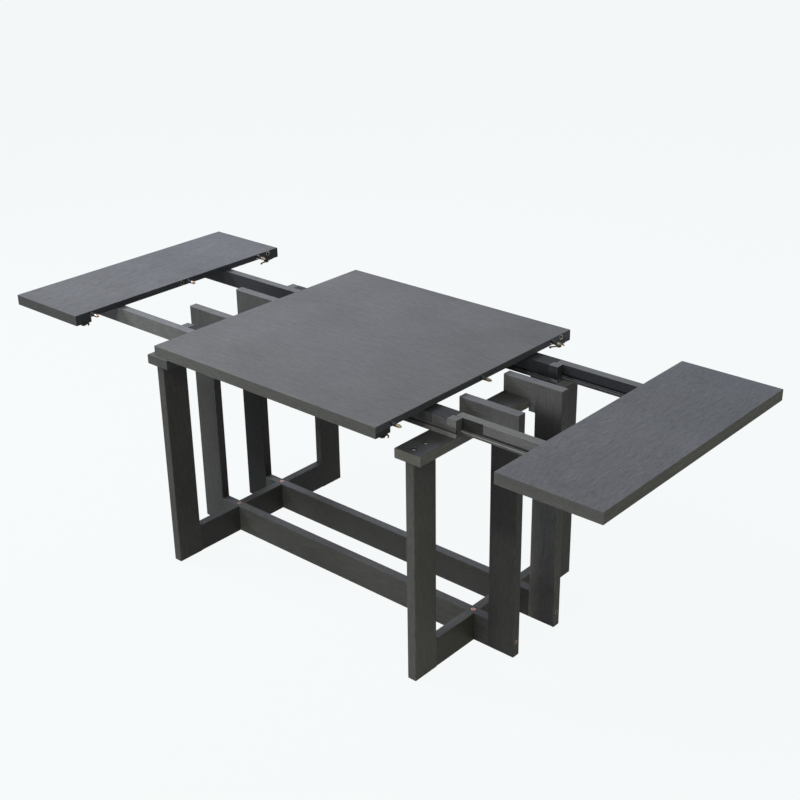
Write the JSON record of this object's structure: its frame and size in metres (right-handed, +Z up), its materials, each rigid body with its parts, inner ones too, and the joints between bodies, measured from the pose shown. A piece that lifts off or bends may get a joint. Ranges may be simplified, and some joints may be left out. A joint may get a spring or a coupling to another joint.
{
  "type": "extending dining table",
  "caption": "Square centre top on a frame of flat boards, with sliding end leaves on wooden slides, alignment pins, edge locks and open gaps for insert leaves.",
  "frame": {"origin": "on the floor under the middle of the table", "axes": "+X along the table towards the right leaf, +Y to the back, +Z up"},
  "size_m": [2.184, 0.848, 0.762],
  "materials": {
    "table_top": "satin grey stain",
    "table_edge": "satin grey stain",
    "frame": "satin dark grey stain",
    "slides": "satin dark grey stain",
    "pin": "grey stain",
    "dowel": "bare",
    "brass": "satin",
    "copper": "satin",
    "steel": "satin"
  },
  "bodies": {
    "base": {"right_front_leg": "frame", "right_back_leg": "frame", "right_floor_rail": "frame", "right_cleat": "frame", "left_front_leg": "frame", "left_back_leg": "frame", "left_floor_rail": "frame", "left_cleat": "frame", "front_stretcher": "frame", "back_stretcher": "frame", "right_front_post": "frame", "right_back_post": "frame", "left_front_post": "frame", "left_back_post": "frame", "right_front_arm": "frame", "right_back_arm": "frame", "left_front_arm": "frame", "left_back_arm": "frame", "front_centre_rail": "slides", "back_centre_rail": "slides", "centre_panel": "table_top", "centre_front_strip": "table_edge", "centre_back_strip": "table_edge", "crossing_screws": "copper", "post_bolts": "copper", "leg_screws": "steel", "cleat_screws": "steel", "top_screws": "steel", "joint_dowels": "dowel", "centre_pins": "pin", "centre_pin_brass": "brass", "centre_sockets": "brass", "centre_lock_plates": "brass", "centre_catches": "brass"},
    "right_leaf": {"right_leaf_panel": "table_top", "right_leaf_front_strip": "table_edge", "right_leaf_back_strip": "table_edge", "right_leaf_end_strip": "table_edge", "right_front_runner": "slides", "right_back_runner": "slides", "right_runner_screws": "steel", "right_stop_pegs": "dowel", "right_leaf_sockets": "brass", "right_leaf_catches": "brass"},
    "left_leaf": {"left_leaf_panel": "table_top", "left_leaf_front_strip": "table_edge", "left_leaf_back_strip": "table_edge", "left_leaf_end_strip": "table_edge", "left_front_runner": "slides", "left_back_runner": "slides", "left_runner_screws": "steel", "left_stop_pegs": "dowel", "left_leaf_pins": "pin", "left_leaf_pin_brass": "brass", "left_leaf_lock_plates": "brass"},
    "centre_front_lever": {"centre_front_lever": "brass"},
    "centre_back_lever": {"centre_back_lever": "brass"},
    "leaf_front_lever": {"leaf_front_lever": "brass"},
    "leaf_back_lever": {"leaf_back_lever": "brass"}
  },
  "joints": [
    {"name": "right_leaf_slide", "type": "slide", "parent": "base", "child": "right_leaf", "axis": [-1, 0, 0], "range_m": [0, 0.3676]},
    {"name": "left_leaf_slide", "type": "slide", "parent": "base", "child": "left_leaf", "axis": [1, 0, 0], "range_m": [0, 0.3676]},
    {"name": "centre_front_lock", "type": "hinge", "parent": "base", "child": "centre_front_lever", "pos_m": [0.421, -0.396, 0.7247], "axis": [0, 0, -1], "range_deg": [-94, 50]},
    {"name": "centre_back_lock", "type": "hinge", "parent": "base", "child": "centre_back_lever", "pos_m": [0.421, 0.372, 0.7247], "axis": [0, 0, -1], "range_deg": [-58, 86]},
    {"name": "leaf_front_lock", "type": "hinge", "parent": "left_leaf", "child": "leaf_front_lever", "pos_m": [-0.795, -0.396, 0.7247], "axis": [0, 0, -1], "range_deg": [-94, 50]},
    {"name": "leaf_back_lock", "type": "hinge", "parent": "left_leaf", "child": "leaf_back_lever", "pos_m": [-0.795, 0.372, 0.7247], "axis": [0, 0, -1], "range_deg": [-18, 126]}
  ]
}
